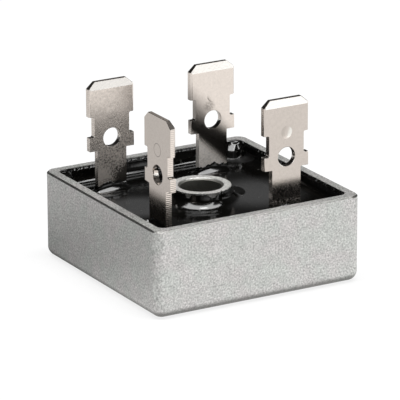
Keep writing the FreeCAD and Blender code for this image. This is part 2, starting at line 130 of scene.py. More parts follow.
# %% A socket that can be used in sums
class Wire:
    """An output socket of a node tree, for use in Python sums."""

    def __init__(self, tree, socket):
        self.tree = tree
        self.socket = socket

    @classmethod
    def make(cls, tree, kind, settings=None, sockets=None, output=0):
        """Adds one node and returns one of its outputs, by number or by name."""
        node = tree.nodes.new(kind)
        for name, value in (settings or {}).items():
            setattr(node, name, value)
        for key, value in (sockets or {}).items():
            if isinstance(value, Wire):
                tree.links.new(value.socket, node.inputs[key])
            else:
                node.inputs[key].default_value = value
        return cls(tree, node.outputs[output]) if node.outputs else None

    def calculate(self, operation, first, second=0.0):
        """One Math node on numbers or wires."""
        return Wire.make(self.tree, "ShaderNodeMath", {"operation": operation},
                         {0: first, 1: second})

    def __add__(self, other):
        return self.calculate("ADD", self, other)

    def __radd__(self, other):
        return self.calculate("ADD", other, self)

    def __sub__(self, other):
        return self.calculate("SUBTRACT", self, other)

    def __rsub__(self, other):
        return self.calculate("SUBTRACT", other, self)

    def __mul__(self, other):
        return self.calculate("MULTIPLY", self, other)

    def __rmul__(self, other):
        return self.calculate("MULTIPLY", other, self)

    def __truediv__(self, other):
        return self.calculate("DIVIDE", self, other)

    def __rtruediv__(self, other):
        return self.calculate("DIVIDE", other, self)

    def __pow__(self, other):
        return self.calculate("POWER", self, other)

    def __abs__(self):
        return self.calculate("ABSOLUTE", self)

    def sine(self):
        """The sine of an angle in radians."""
        return self.calculate("SINE", self)

    def rise(self, low, high):
        """A soft step: 0 below low, 1 above high, smooth between them."""
        return Wire.make(self.tree, "ShaderNodeMapRange",
                         {"interpolation_type": "SMOOTHSTEP"},
                         {"Value": self, "From Min": low, "From Max": high})

    def fall(self, low, high):
        """The reverse of rise: 1 below low and 0 above high."""
        return 1 - self.rise(low, high)

    def parts(self):
        """The x, y and z of a vector."""
        first = Wire.make(self.tree, "ShaderNodeSeparateXYZ", sockets={0: self})
        return [Wire(self.tree, output) for output in first.socket.node.outputs]


print("steps of a Wire:", ", ".join(name for name in vars(Wire) if not name.startswith("_")))

# %% [markdown]
# A few finishes share the same small steps: blend two colours by a mask, read
# the place of a point in millimetres, and lay a noise over it. The textures
# read Object coordinates. Every piece's object sits at the origin, so these
# are also the part's own coordinates, and a pattern stays where it is put.

# %% Places and colours in a finish
MIX_FACTOR, MIX_FIRST, MIX_SECOND, MIX_RESULT = 0, 6, 7, 2


def blend_colours(mask, first, second):
    """A colour between two others, by a mask from 0 to 1."""
    return Wire.make(mask.tree, "ShaderNodeMix", {"data_type": "RGBA"},
                     {MIX_FACTOR: mask, MIX_FIRST: first, MIX_SECOND: second}, MIX_RESULT)


def scaled(tree, vector, factor):
    """A vector or a colour times a number."""
    return Wire.make(tree, "ShaderNodeVectorMath", {"operation": "SCALE"},
                     {0: vector, "Scale": factor})


def place_in_mm(tree):
    """Object coordinates, in millimetres."""
    return scaled(tree, Wire.make(tree, "ShaderNodeTexCoord", output="Object"), 1 / MM)


def facing_parts(tree):
    """The x, y and z of the way that the surface faces."""
    return Wire.make(tree, "ShaderNodeTexCoord", output="Normal").parts()


def length_of(x, y):
    """The distance that two steps at right angles make."""
    return (x * x + y * y) ** 0.5


def stretched(place, scale):
    """A place with each axis scaled, so that a pattern on it is drawn out."""
    return Wire.make(place.tree, "ShaderNodeMapping", {"vector_type": "POINT"},
                     {"Vector": place, "Scale": scale})


# %% [markdown]
# Grain, dust and stains are patterns that Blender works out from the place of
# a point: clouds from the Noise texture and dots from the cells of the Voronoi
# texture. Both take their sizes in millimetres here, so that a number in a
# finish can be compared with the real thing.

# %% Patterns and materials
SPECK_EDGE = 0.08


def cloudy(place, size, detail=2.0, roughness=0.5, shift=0.0):
    """Noise about 0.5 whose blobs are about `size` mm across."""
    if shift:
        place = Wire.make(place.tree, "ShaderNodeVectorMath", {"operation": "ADD"},
                          {0: place, 1: (shift, 0.7 * shift, 1.3 * shift)})
    return Wire.make(place.tree, "ShaderNodeTexNoise",
                     sockets={"Vector": place, "Scale": 0.5 / size, "Detail": detail,
                              "Roughness": roughness})


def specks(place, spacing, share):
    """Round dots, 1 inside, in a share of the cells that are `spacing` mm across."""
    distance = Wire.make(place.tree, "ShaderNodeTexVoronoi",
                         sockets={"Vector": place, "Scale": 1 / spacing}, output="Distance")
    cell_colour = Wire(place.tree, distance.socket.node.outputs["Color"])
    chosen = cell_colour.parts()[0]
    return distance.fall(0.15, 0.45) * chosen.rise(1 - share, 1 - share + SPECK_EDGE)


def bumpy(height, depth, strength):
    """A Bump node: height from 0 to 1 stands for `depth` mm."""
    return Wire.make(height.tree, "ShaderNodeBump",
                     sockets={"Height": height, "Distance": depth * MM, "Strength": strength})


def new_finish(name, **values):
    """A new material, with the socket values that are the same all over it."""
    material = bpy.data.materials.new(name)
    material.use_nodes = True
    shader = material.node_tree.nodes["Principled BSDF"]
    for key, value in values.items():
        shader.inputs[key.replace("_", " ")].default_value = value
    return material, material.node_tree, shader


def feed(shader, **wires):
    """Links what varies over the surface to the shader's sockets."""
    for key, wire in wires.items():
        wire.tree.links.new(wire.socket, shader.inputs[key.replace("_", " ")])


def dress(object_name, material):
    """Gives one CAD node its finish in every material slot."""
    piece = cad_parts[object_name]
    if not piece.data.materials:
        piece.data.materials.append(material)
    for slot in piece.material_slots:
        slot.material = material


# %% [markdown]
# The cup is cast aluminium with a fine blasted skin. Blasting leaves grains
# about a tenth of a millimetre across, and each catches the light its own way,
# so the skin sparkles without shining. Four patterns make it: grain that lifts
# and roughens, patches where it lies denser, a few bright specks that are
# painted glints, and wide clouds that tint it a little warmer or greener. A
# picture of real cast skin would serve too, but a pattern worked out from the
# place has no seams. The top faces are rougher and pitted, and their colour is
# darkened as painted shade, while the top of the boss ring is lightened as
# painted light. Painted shade also darkens the rounded edges of the rim and of
# the boss ring, the faces that look down, and the bore.

# %% Finish of the cup
BORE_RADIUS, BOSS_OUTSIDE = 2.7, 4.4
GRAIN_SIZE, PATCH_SIZE, CLOUD_SIZE, PIT_SIZE = 0.11, 0.55, 1.6, 0.08
GLINT_SPACING, GLINT_SHARE = 0.22, 0.16
WARM_SKIN, GREENISH_SKIN = (0.494, 0.480, 0.472, 1), (0.470, 0.480, 0.461, 1)
# The glint colour is a painted highlight; the top, pit and bore colours below also paint shade, and
# the ring colour paints light.
PAINTED_GLINT = (0.93, 0.92, 0.88, 1)
SHADED_TOP = (0.30, 0.297, 0.29, 1)
RING_TOP_PAINTED_LIGHT = (0.97, 0.96, 0.93, 1)
DARK_PIT_AND_SHADE = (0.10, 0.098, 0.09, 1)
PAINTED_BORE_SHADE = (0.19, 0.188, 0.172, 1)


def make_cast_aluminium():
    """Blasted aluminium with pits, painted glints, and painted shade on its tops, edges, underside and
    bore.
    """
    material, tree, shader = new_finish("cast_aluminium", Metallic=1.0)
    place = place_in_mm(tree)
    x, y = place.parts()[:2]
    radius = length_of(x, y)
    upward = facing_parts(tree)[2]

    grain = cloudy(place, GRAIN_SIZE, detail=1.0)
    patches = cloudy(place, PATCH_SIZE, detail=3.0, roughness=0.6, shift=31.0)
    clouds = cloudy(place, CLOUD_SIZE, detail=3.0, shift=11.0)
    # Painted glints: bright specks painted into the colour as sparkle.
    painted_glints = specks(place, GLINT_SPACING, GLINT_SHARE)
    tint = blend_colours(clouds.rise(0.35, 0.65), WARM_SKIN, GREENISH_SKIN)
    skin = scaled(tree, tint, 0.06 + 1.80 * grain + 0.44 * patches)
    blasted = blend_colours(painted_glints * 0.35, skin, PAINTED_GLINT)

    bore = radius.fall(BORE_RADIUS + 0.02, BORE_RADIUS + 0.08)
    boss = radius.fall(BOSS_OUTSIDE, BOSS_OUTSIDE + 0.4) * (1 - bore)
    top = upward.rise(0.90, 0.98)
    underside_shade = upward.fall(-0.60, -0.05)
    rim_edge_shade = upward.rise(0.55, 0.70) * upward.fall(0.93, 0.98) * (1 - boss)
    ring_edge_shade = boss * upward.rise(0.5, 0.65) * (1 - top)
    pits = top * cloudy(place, PIT_SIZE, detail=2.0, shift=23.0).rise(0.48, 0.60) * (1 - 0.35 * boss)
    # The dark mix holds real pits and painted shade on the rim edges, the ring edge and the faces that
    # look down.
    pits_and_painted_shade = pits * 0.45 + rim_edge_shade * 0.70 + underside_shade * 0.70 + ring_edge_shade * 0.45

    # Painted shade darkens the faces that look up; the top of the boss ring is lightened as painted
    # light.
    shaded_top = blend_colours(top * 0.32, blasted, SHADED_TOP)
    lit_ring_top = blend_colours(boss * top * 0.22, shaded_top, RING_TOP_PAINTED_LIGHT)
    pitted_and_shaded = blend_colours(pits_and_painted_shade, lit_ring_top, DARK_PIT_AND_SHADE)
    # Painted shade: the bore is darkened.
    colour = blend_colours(bore, pitted_and_shaded, PAINTED_BORE_SHADE)
    feed(shader, Base_Color=colour, Roughness=0.36 + 0.18 * grain + 0.15 * bore + 0.24 * top,
         Normal=bumpy(grain + 0.5 * patches, 0.035, 0.6))
    return material


ALUMINIUM = make_cast_aluminium()
dress("heat_sink_case", ALUMINIUM)
print("cup finished with", ALUMINIUM.name)

# %% [markdown]
# Each tab is a stem with a blade on top and a foot bent off below. Only the
# stem stands in the potting, so its place in plan is what the finish and the
# potting need. It is worked out from the tab's box: the foot reaches a fixed
# way to one side of the sheet's middle. The positive tab is turned a quarter
# turn, so its foot reaches along X and the others' along Y.

# %% Places of the stems
STEM_HALF_WIDTH, SHEET_HALF, FOOT_REACH = 2.0, 0.4, 2.6


def stem_box(name):
    """The middle and the half sizes of a tab's stem in plan, in mm, from the tab's box."""
    low, high = (corner / MM for corner in TAB_BOXES[name])
    if name == "positive":
        return (high.x - FOOT_REACH, (low.y + high.y) / 2), (SHEET_HALF, STEM_HALF_WIDTH)
    return ((low.x + high.x) / 2, low.y + FOOT_REACH), (STEM_HALF_WIDTH, SHEET_HALF)


STEM_BOXES = {name: stem_box(name) for name in TAB_NAMES}
for name, (middle, half) in STEM_BOXES.items():
    print("stem", name, [round(value, 2) for value in middle + half])

# %% [markdown]
# A tab is stamped from one sheet, so its faces are large and flat and only its
# edges are worked. The CAD node of a tab is a heap of loose triangles, on which
# no edge can be bevelled. A copy is therefore merged into whole faces first,
# and the node itself is left alone. Afterwards the large faces are shaded flat
# and the small ones smooth, so that a rounding looks round and a face stays
# plane. The Decimate modifier could merge too, but here each step can be seen.

# %% Copies of CAD nodes
SMOOTH_ANGLE = math.radians(38)
LARGE_FACE = 0.35


def merged_copy(node_name):
    """A bmesh in mm of a CAD node, its loose triangles merged into whole faces."""
    bm = bmesh.new()
    bm.from_mesh(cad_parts[node_name].data)
    bmesh.ops.scale(bm, vec=(1 / MM, 1 / MM, 1 / MM), verts=bm.verts)
    bmesh.ops.remove_doubles(bm, verts=bm.verts, dist=0.001)
    bmesh.ops.dissolve_limit(bm, angle_limit=math.radians(1.0), verts=bm.verts, edges=bm.edges)
    return bm


def to_piece(bm, name):
    """Makes an object of a bmesh in mm, with its large faces flat and its roundings smooth."""
    for face in bm.faces:
        face.smooth = face.calc_area() < LARGE_FACE
    for edge in bm.edges:
        edge.smooth = edge.is_manifold and edge.calc_face_angle() < SMOOTH_ANGLE
    bmesh.ops.triangulate(bm, faces=[face for face in bm.faces if len(face.verts) > 4])
    bmesh.ops.scale(bm, vec=(MM, MM, MM), verts=bm.verts)
    mesh = bpy.data.meshes.new(name)
    bm.to_mesh(mesh)
    # The CAD node's own normals came along, and they no longer fit the rounded faces.
    if "custom_normal" in mesh.attributes:
        mesh.attributes.remove(mesh.attributes["custom_normal"])
    print(name, len(mesh.polygons), "faces,", sum(edge.is_boundary for edge in bm.edges), "open edges")
    bm.free()
    piece = bpy.data.objects.new(name, mesh)
    scene.collection.objects.link(piece)
    return piece


sample = merged_copy("terminal_positive")
print("a tab has", len(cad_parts["terminal_positive"].data.polygons), "loose triangles and",
      len(sample.faces), "merged faces")
sample.free()

# %% [markdown]
# A stamped edge is never quite sharp: the punch rolls one side over and
# tumbling in the plating barrel takes off the rest. That rounding is under a
# tenth of a millimetre, but it draws a fine line of light or dark round each
# blade. The CAD blade has sharp edges, so its copy is bevelled and stands in
# for it. Each blade also has a round detent, which a punch presses into one
# face so that the other swells. How plainly it shows differs from tab to tab,
# so its points are drawn toward the sheet by a share of their own, which is
# simpler than to cut four different detents.

# %% Rounded blades
DIMPLE_HEIGHT, DIMPLE_RADIUS = 18.85, 0.8
DIMPLE_SHARE = {"positive": 0.15, "negative": 0.40, "ac_left": 0.10, "ac_right": 0.60}
DIMPLE_MARGIN, EDGE_MARGIN = 0.15, 0.2
EDGE_ROUND = 0.07
BURIED = 0.5
SHARP_ANGLE = math.radians(30)


def make_tab(name):
    """One blade with softly rounded edges and a detent that is drawn toward the sheet."""
    bm = merged_copy("terminal_" + name)
    middle, half = STEM_BOXES[name]
    through = 0 if half[0] < half[1] else 1
    along = 1 - through

    def from_dimple(point):
        return math.hypot(point[along] - middle[along], point.z - DIMPLE_HEIGHT)

    for side in (-1, 1):
        face_place = Vector((0.0, 0.0, 0.0))
        face_place[through] = middle[through] + side * SHEET_HALF
        squeeze = Vector((1.0, 1.0, 1.0))
        squeeze[through] = DIMPLE_SHARE[name]
        cap = [vert for vert in bm.verts if from_dimple(vert.co) < DIMPLE_RADIUS + DIMPLE_MARGIN
               and (vert.co[through] - middle[through]) * side > 0]
        bmesh.ops.scale(bm, vec=squeeze, space=Matrix.Translation(-face_place), verts=cap)
    sharp = [edge for edge in bm.edges
             if edge.is_manifold and edge.calc_face_angle() > SHARP_ANGLE
             and min(vert.co.z for vert in edge.verts) > LEVEL - BURIED
             and from_dimple(edge.verts[0].co) > DIMPLE_RADIUS + EDGE_MARGIN]
    bmesh.ops.bevel(bm, geom=sharp, offset=EDGE_ROUND, offset_type="OFFSET", affect="EDGES",
                    segments=2, profile=0.5, material=-1, clamp_overlap=True)
    piece = to_piece(bm, "tab_" + name)
    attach(piece, "root")
    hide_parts("terminal_" + name)
    return piece


tabs = {name: make_tab(name) for name in TAB_NAMES}

# %% [markdown]
# A tab's wear follows the tab: grit gathers low on the stem, shear lines run
# across the sheet's edge, and a stain lies beside the detent. So the finish
# first needs to know where on its own tab a point is: how far across the
# sheet from its middle, how high, how far from the detent, and whether the
# surface is the thin edge. A UV map could tell that too, but Object coordinates
# need no unwrapping. The noises that the steps share are made here as well.

# %% Where a point is on a tab
def tab_spot(tree, name):
    """Wires in mm that tell where on its tab a point is, with the noises of the finish."""
    place = place_in_mm(tree)
    x, y, z = place.parts()
    facing = facing_parts(tree)
    middle, half = STEM_BOXES[name]
    flat_on_x = half[0] < half[1]
    across = (y - middle[1]) if flat_on_x else (x - middle[0])
    up = z - DIMPLE_HEIGHT
    return SimpleNamespace(
        z=z, across=across, up=up, radius=length_of(across, up), upward=facing[2],
        edge_on=abs(facing[1 if flat_on_x else 0]).rise(0.75, 0.9),
        broad=cloudy(place, 1.8, detail=3.0, shift=5.0),
        fine=cloudy(place, 0.13, detail=1.0),
        rolled=cloudy(stretched(place, (6.0, 6.0, 0.5)), 0.5, detail=2.0),
        spots=cloudy(place, 0.10, detail=2.0, roughness=0.7, shift=17.0))


# %% [markdown]
# The plating is bright tin. Rolling leaves the faces smooth enough to mirror
# what stands before them: the pale bench high up, and the black potting low
# down, so the stems darken by themselves. Flux and potting fumes leave dark
# grit and a dull grey film near the foot. The grit and film differ from tab to
# tab, and each tab also has a painted brightness of its own and painted light
# on its thin edges, so a table keeps the numbers of each one beside those that
# most of them share.

# %% Wear and painted light of the tabs
SHEAR_LINES = 0.24
SHARED_WEAR_AND_LIGHT = {"roughness": 0.12, "grit": 1.0, "contrast": 4.0, "grain": 0.16, "film": 0.0,
               "film_tone": 0.50, "edge_gain": 0.10, "cut_top": 0.15}
TAB_WEAR_AND_LIGHT = {
    # The brightness of each tab and the gain on its thin edges are painted light.
    # The grit zone runs from the height in mm where the grit is full to where it ends.
    "positive": {"brightness": 1.02, "grit_zone": (9.5, 14.0), "grit": 0.8,
                 "edge_gain": 0.25, "cut_top": 0.85},
    # The back tab's pale film tone makes its dull foot a painted light patch.
    "negative": {"brightness": 1.24, "grit_zone": (9.5, 15.0), "grit": 0.25,
                 "roughness": 0.11, "film_tone": 0.90},
    "ac_left": {"brightness": 1.20, "grit_zone": (8.5, 22.5), "roughness": 0.19,
                "contrast": 2.5, "grain": 0.42, "film": 0.36},
    "ac_right": {"brightness": 0.98, "grit_zone": (10.2, 13.2)},
}
for name, numbers in TAB_WEAR_AND_LIGHT.items():
    print("grit on tab", name, "ends at", numbers["grit_zone"][1], "mm")


def lean_of_grime(spot):
    """On the left tab the grit is heavier toward the right of the stem's foot."""
    return 0.85 * spot.across * spot.z.fall(10.0, 13.0) - 0.06


def start_coat(spot, name, wear_and_light):
    """How bright with painted light, gritty, dull and sheared the plating is at a point."""
    depth = 1 - spot.z.rise(*wear_and_light.grit_zone)
    grime = wear_and_light.contrast * (spot.spots - 0.5) + 0.8 * spot.broad + 0.6 * depth - 0.55
    if name == "ac_left":
        grime = grime + lean_of_grime(spot)
    lines = (spot.z * (2 * math.pi / SHEAR_LINES) + 3.0 * spot.broad).sine()
    shear = spot.edge_on * lines.rise(-0.2, 0.9) * (0.25 + 0.60 * spot.z.fall(13.0, 17.0))
    mottle = (0.92 - 0.5 * wear_and_light.grain + 0.10 * spot.broad + 0.04 * spot.rolled
              + wear_and_light.grain * spot.fine)
    return SimpleNamespace(
        shear=shear, swell=0.0,
        grit=grime.rise(0.0, 0.9) * depth.rise(0.0, 0.4) * wear_and_light.grit,
        dull=wear_and_light.film * depth * spot.z.rise(9.6, 11.2),
        # The tone holds painted light: a brightness for each tab and a gain on the thin edges.
        tone=wear_and_light.brightness * mottle * (1 - 0.85 * shear) * (1 + wear_and_light.edge_gain * spot.edge_on))


# %% [markdown]
# Three tabs carry marks of their own, most of them painted light and shade.
# The turned one has painted shade low on its face, where it looks at the dark
# potting, and a thin ring of painted shade round its detent. The back one has
# a dull foot painted pale as painted light under a slanting band of painted
# dark reflection, a bulge that bends what it mirrors, and a smudge below that.
# The detent of the right-hand one has a painted highlight on one side and
# painted shade on the other. Each mark is a small step that changes the coat
# it is given, so that a tab's finish is a list of such steps.

# %% Marks and painted light of single tabs
BULGE_AT, BULGE_REACH, BULGE_HEIGHT = (-0.3, 19.2), 1.6, 22.0
SMUDGE_AT, SMUDGE_SIZE = (-0.5, 17.6), (0.9, 0.7)
# Colours of painted shade and painted highlight on the detents.
RING_PAINTED_SHADE = (0.05, 0.045, 0.04, 1)
DETENT_PAINTED_SHADE, DETENT_PAINTED_HIGHLIGHT = (0.30, 0.27, 0.24, 1), (0.90, 0.89, 0.84, 1)


def paint_shade_low_on_face(spot, coat):
    """Painted shade on the turned tab: its face is darker low down, where it mirrors less light."""
    coat.tone = coat.tone * (1 - 0.45 * spot.z.fall(11.0, 14.2) * (1 - spot.edge_on))


def painted_band_and_smudge(spot, coat):
    """The back tab: a slanting band of painted dark reflection, a dull foot painted pale as painted
    light, a bulge and a smudge.
    """
    slant = spot.z + 0.9 * spot.across
    painted_dark_band = slant.rise(11.2, 12.8) * (slant + 0.2 * spot.across + 0.8 * spot.broad).fall(15.0, 18.6)
    # Painted dark reflection: a slanting band is darkened; the dull foot below is painted pale as
    # painted light.
    coat.tone = coat.tone * (1 - 0.68 * painted_dark_band)
    coat.dull = 0.9 * slant.fall(10.8, 12.6)
    bulge = length_of(spot.across - BULGE_AT[0], spot.z - BULGE_AT[1])
    coat.swell = BULGE_HEIGHT * bulge.fall(0.0, BULGE_REACH)
    smudge = (((spot.across - SMUDGE_AT[0]) / SMUDGE_SIZE[0]) ** 2
              + ((spot.z - SMUDGE_AT[1]) / SMUDGE_SIZE[1]) ** 2)
    coat.grit = coat.grit + 0.40 * smudge.fall(0.0, 1.3) * spot.spots.rise(0.25, 0.6)


def painted_ring_of_detent(spot, coat):
    """The turned tab: a thin ring of painted shade round the detent, and a matter foot."""
    ring = spot.radius.rise(0.72, 0.80) * spot.radius.fall(0.80, 0.88)
    coat.colour = blend_colours(ring * 0.6, coat.colour, RING_PAINTED_SHADE)
    coat.matte = coat.matte + 0.16 * spot.z.fall(10.0, 14.5)


def painted_sides_of_detent(spot, coat):
    """The right-hand tab: a detent with painted shade on its left and a painted highlight on its
    right.
    """
    dent = spot.radius.fall(DIMPLE_RADIUS - 0.10, DIMPLE_RADIUS + 0.02)
    lean = spot.across - 0.3 * spot.up
    detent_shaded = blend_colours(dent * lean.fall(-0.5, 0.1) * 0.30, coat.colour, DETENT_PAINTED_SHADE)
    coat.colour = blend_colours(dent * lean.rise(0.05, 0.60) * 0.8, detent_shaded, DETENT_PAINTED_HIGHLIGHT)
    coat.matte = coat.matte + 0.12 * dent


MARKS_AND_PAINTED_LIGHT_ON_TIN = {"positive": paint_shade_low_on_face, "negative": painted_band_and_smudge}
MARKS_AND_PAINTED_LIGHT_ON_COLOUR = {"positive": painted_ring_of_detent, "ac_right": painted_sides_of_detent}
print("tabs with marks of their own:", ", ".join({**MARKS_AND_PAINTED_LIGHT_ON_TIN, **MARKS_AND_PAINTED_LIGHT_ON_COLOUR}))

# %% [markdown]
# The finish lays its colours one over another: tin, the film that fumes left,
# a painted highlight on the lead-in bevel, grit, and painted shade where a face
# looks up, less dark on the flat tops. The film isn't metal, so it lowers
# Metallic where it lies. Mixing by masks keeps each layer apart, and one layer
# can be changed without touching the next.

# %% Finish of the tabs
# Besides tin, these colours paint a highlight on the lead-in bevel and shade on faces that look up.
TIN = (0.620, 0.560, 0.510)
TIN_PAINTED_HIGHLIGHT = (0.86, 0.83, 0.79, 1)
DARK_GRIT = (0.045, 0.040, 0.034, 1)
PAINTED_SHADE_ON_TOPS = (0.018, 0.016, 0.014, 1)
LIGHTER_SHADE_ON_FLAT_TOPS = (0.52, 0.46, 0.41, 1)


def make_tinned_tab(name):
    """Bright tin on rolled brass, with grit and a dull film that thicken toward the foot."""
    material, tree, shader = new_finish("tinned_tab_" + name)
    wear_and_light = SimpleNamespace(**{**SHARED_WEAR_AND_LIGHT, **TAB_WEAR_AND_LIGHT[name]})
    spot = tab_spot(tree, name)
    coat = start_coat(spot, name, wear_and_light)
    if name in MARKS_AND_PAINTED_LIGHT_ON_TIN:
        MARKS_AND_PAINTED_LIGHT_ON_TIN[name](spot, coat)

    looks_up = spot.upward.rise(0.45, 0.6)
    lead_in = spot.upward.rise(0.12, 0.22) * spot.upward.fall(0.40, 0.50) * spot.radius.rise(1.0, 1.2)
    cut_top = spot.upward.rise(0.93, 0.98) * wear_and_light.cut_top
    film = (wear_and_light.film_tone, 0.95 * wear_and_light.film_tone, 0.89 * wear_and_light.film_tone, 1)
    filmed = blend_colours(coat.dull, scaled(tree, TIN, coat.tone), film)
    # Painted highlight on the lead-in bevel.
    highlighted = blend_colours(lead_in, filmed, TIN_PAINTED_HIGHLIGHT)
    gritty = blend_colours(coat.grit, highlighted, DARK_GRIT)
    # Painted shade on faces that look up, less dark on the flat tops.
    shaded_tops = blend_colours(looks_up * 0.95, gritty, PAINTED_SHADE_ON_TOPS)
    coat.colour = blend_colours(cut_top, shaded_tops, LIGHTER_SHADE_ON_FLAT_TOPS)
    coat.matte = (wear_and_light.roughness + 0.06 * spot.broad + 0.25 * coat.grit + 0.25 * coat.dull
                  + 0.35 * looks_up)
    if name in MARKS_AND_PAINTED_LIGHT_ON_COLOUR:
        MARKS_AND_PAINTED_LIGHT_ON_COLOUR[name](spot, coat)

    height = spot.fine + spot.rolled + 3.0 * coat.shear + 0.8 * coat.grit + coat.swell
    feed(shader, Base_Color=coat.colour, Roughness=coat.matte, Metallic=1 - coat.dull,
         Normal=bumpy(height, 0.006, 0.35))
    return material


for tab_name in TAB_WEAR_AND_LIGHT:
    finish = make_tinned_tab(tab_name)
    tabs[tab_name].data.materials.append(finish)
    dress("terminal_" + tab_name, finish)
print("tabs finished:", ", ".join(TAB_WEAR_AND_LIGHT))

# %% [markdown]
# The potting is black epoxy poured in as a liquid. It wets metal, so it climbs
# the wall of the cup, the boss and each stem in a hollow curve and sets there.
# Above the curve it leaves a thin film on the metal. Those curves hold its
# only highlights, so their profile matters more than anything else here. Each
# one is a function of how far a point is from the metal, which lets the same
# few lines serve a straight wall, a round boss and a flat stem.

# %% Hollow curves
FILM = 0.12


def round_hollow(share):
    """A quarter round: the height for a share of the way in, both from 0 to 1."""
    return 1.0 - math.sqrt(1.0 - share * share)


def soft_ramp_hollow(share):
    """A ramp that curves all the way, so that its highlight tapers like a leaf."""
    return (math.hypot(share, 1.0) - 1.0) / (math.hypot(1.0, 1.0) - 1.0)


def creep(distance, climb, curve, reach, hollow, drawn_in=0.0):
    """Height of a film that clings to the metal and of the hollow below it."""
    share = max(1.0 - (max(distance - FILM, 0.0) + drawn_in) / reach, 0.0)
    cling = max(1.0 - max(distance, 0.0) / FILM, 0.0)
    return min(curve * hollow(share) + cling * max(climb - curve, 0.0), climb)


for share in (0.25, 0.5, 0.75):
    print("hollows at", share, "of the way in:",
          round(round_hollow(share), 2), "and", round(soft_ramp_hollow(share), 2))

# %% [markdown]
# Nothing poured by hand is quite even. The film on the boss has drawn back in
# two places, a drop has dried beside the boss, a bead sits by the turned tab,
# and the corners hold thick pools, because a liquid gathers where two walls
# meet. Each of these is a small height of its own. They are kept apart from
# the curves, so that the even creep can be changed without losing them.

# %% Uneven places in the potting
BOSS_RADIUS = 3.75
BARE_SPOTS, BARE_DEPTH = ((-97.0, 9.0), (-144.0, 5.5)), 0.50
PUDDLE_MIDDLE, PUDDLE_LONG, PUDDLE_SHORT = (5.57, 0.51), 1.90, 0.80
PUDDLE_WAY, PUDDLE_HEIGHT = (0.22, 0.98), 0.12
BEAD_MIDDLE, BEAD_HEIGHT, BEAD_SPREAD = (-9.9, -4.3), 0.45, 0.12
POOL_DEPTH, POOL_EDGE, POOL_FOOT = 1.95, 1.05, 0.18
POOL_SLOPE, POOL_RUN = 0.75, 0.9
POOL_TURN, POOL_WIDTH, POOL_TAPER = 0.7, 0.55, 0.8


def puddle_reach(x, y):
    """Where a point is in the oval drop beside the boss: 0 at its middle and 1 at its edge."""
    dx, dy = x - PUDDLE_MIDDLE[0], y - PUDDLE_MIDDLE[1]
    along = (dx * PUDDLE_WAY[0] + dy * PUDDLE_WAY[1]) / PUDDLE_LONG
    aside = (dy * PUDDLE_WAY[0] - dx * PUDDLE_WAY[1]) / PUDDLE_SHORT
    return along * along + aside * aside


def bare_depth(x, y):
    """How far the film on the boss has drawn back over a point."""
    along = math.degrees(math.atan2(y, x))
    return sum(BARE_DEPTH * math.exp(-((along - middle) / half) ** 4)
               for middle, half in BARE_SPOTS)


def bead_height(x, y):
    """Height of the small bead beside the turned tab."""
    away = (x - BEAD_MIDDLE[0]) ** 2 + (y - BEAD_MIDDLE[1]) ** 2
    return BEAD_HEIGHT * math.exp(-away / BEAD_SPREAD)


def corner_pool(gap_x, gap_y):
    """Height of the thick pool in a corner, from the gaps to its two walls."""
    aside = max(abs(gap_x - gap_y - POOL_TURN) - POOL_WIDTH, 0.0)
    depth = (gap_x + gap_y) / math.sqrt(2) + POOL_TAPER * aside
    if depth > POOL_DEPTH:
        return POOL_EDGE * math.exp(-((depth - POOL_DEPTH) / POOL_FOOT) ** 2)
    return POOL_EDGE + POOL_SLOPE * (POOL_DEPTH - max(depth, POOL_DEPTH - POOL_RUN))


print("the drop reaches", round(PUDDLE_MIDDLE[0] + PUDDLE_SHORT, 2), "mm to the right of the axis")

# %% [markdown]
# One formula now gives the height of the potting over any point. The climbs of
# wall, boss, stems and pools are joined by the root of the sum of their
# squares: where one is far larger it wins, and where two meet they flow into
# each other, which separate fillets wouldn't do. Slow noise makes the film's
# upper edge wander, and faster noise makes it ragged. Each curve below is a
# pair: how high it stands at the metal, and how far out its foot reaches.

# %% Height of the potting
WALL_CLIMB, BOSS_CLIMB, STEM_CLIMB, MOST_CLIMB = 1.92, 1.85, 1.20, 2.12
WALL_CURVE, BOSS_CURVE, STEM_CURVE = (1.15, 1.05), (0.90, 1.35), (0.74, 1.05)
STEM_CURVES = {"ac_left": (0.64, 0.92)}
STEM_CLIMBS = {"ac_right": 0.80}
WANDER_PER_MM, RAGGED_PER_MM = 1.4, 4.0
CORNER_CLIMB = 0.3
WALL_FOOT, WALL_FOOT_REACH = 0.14, 1.4
STEM_DRAW, MOST_DRAW = 0.07, 6.0
FILM_INSIDE, SINK_IN_BOSS = 0.06, 2.0


def uneven(x, y, per_mm, layer):
    """Noise from -1 to 1 over the plan. Each layer is a noise of its own."""
    return noise.noise(Vector((per_mm * x, per_mm * y, layer)))


def box_distance(x, y, middle, half):
    """How far a point is outside a rectangle."""
    dx = max(abs(x - middle[0]) - half[0], 0.0)
    dy = max(abs(y - middle[1]) - half[1], 0.0)
    return math.hypot(dx, dy)


def wall_climb(gap, other_gap, wander, ragged):
    """Creep up one wall: it stands higher in the corners and has a long, faint foot."""
    climb = (WALL_CLIMB + 0.20 * wander + 0.14 * ragged
             + CORNER_CLIMB * math.exp(-(gap + other_gap)))
    foot = WALL_FOOT * math.exp(-gap / WALL_FOOT_REACH)
    return creep(gap, climb, *WALL_CURVE, round_hollow) + foot


def stem_climb(x, y, name, wander, ragged):
    """Creep up one stem: it is drawn in toward the stem's edges."""
    middle, half = STEM_BOXES[name]
    across = (y - middle[1]) if half[0] < half[1] else (x - middle[0])
    climb = STEM_CLIMBS.get(name, STEM_CLIMB) + 0.35 * wander + 0.14 * ragged
    drawn_in = STEM_DRAW * min(across * across, MOST_DRAW)
    return creep(box_distance(x, y, middle, half), climb, *STEM_CURVES.get(name, STEM_CURVE),
                 soft_ramp_hollow, drawn_in)


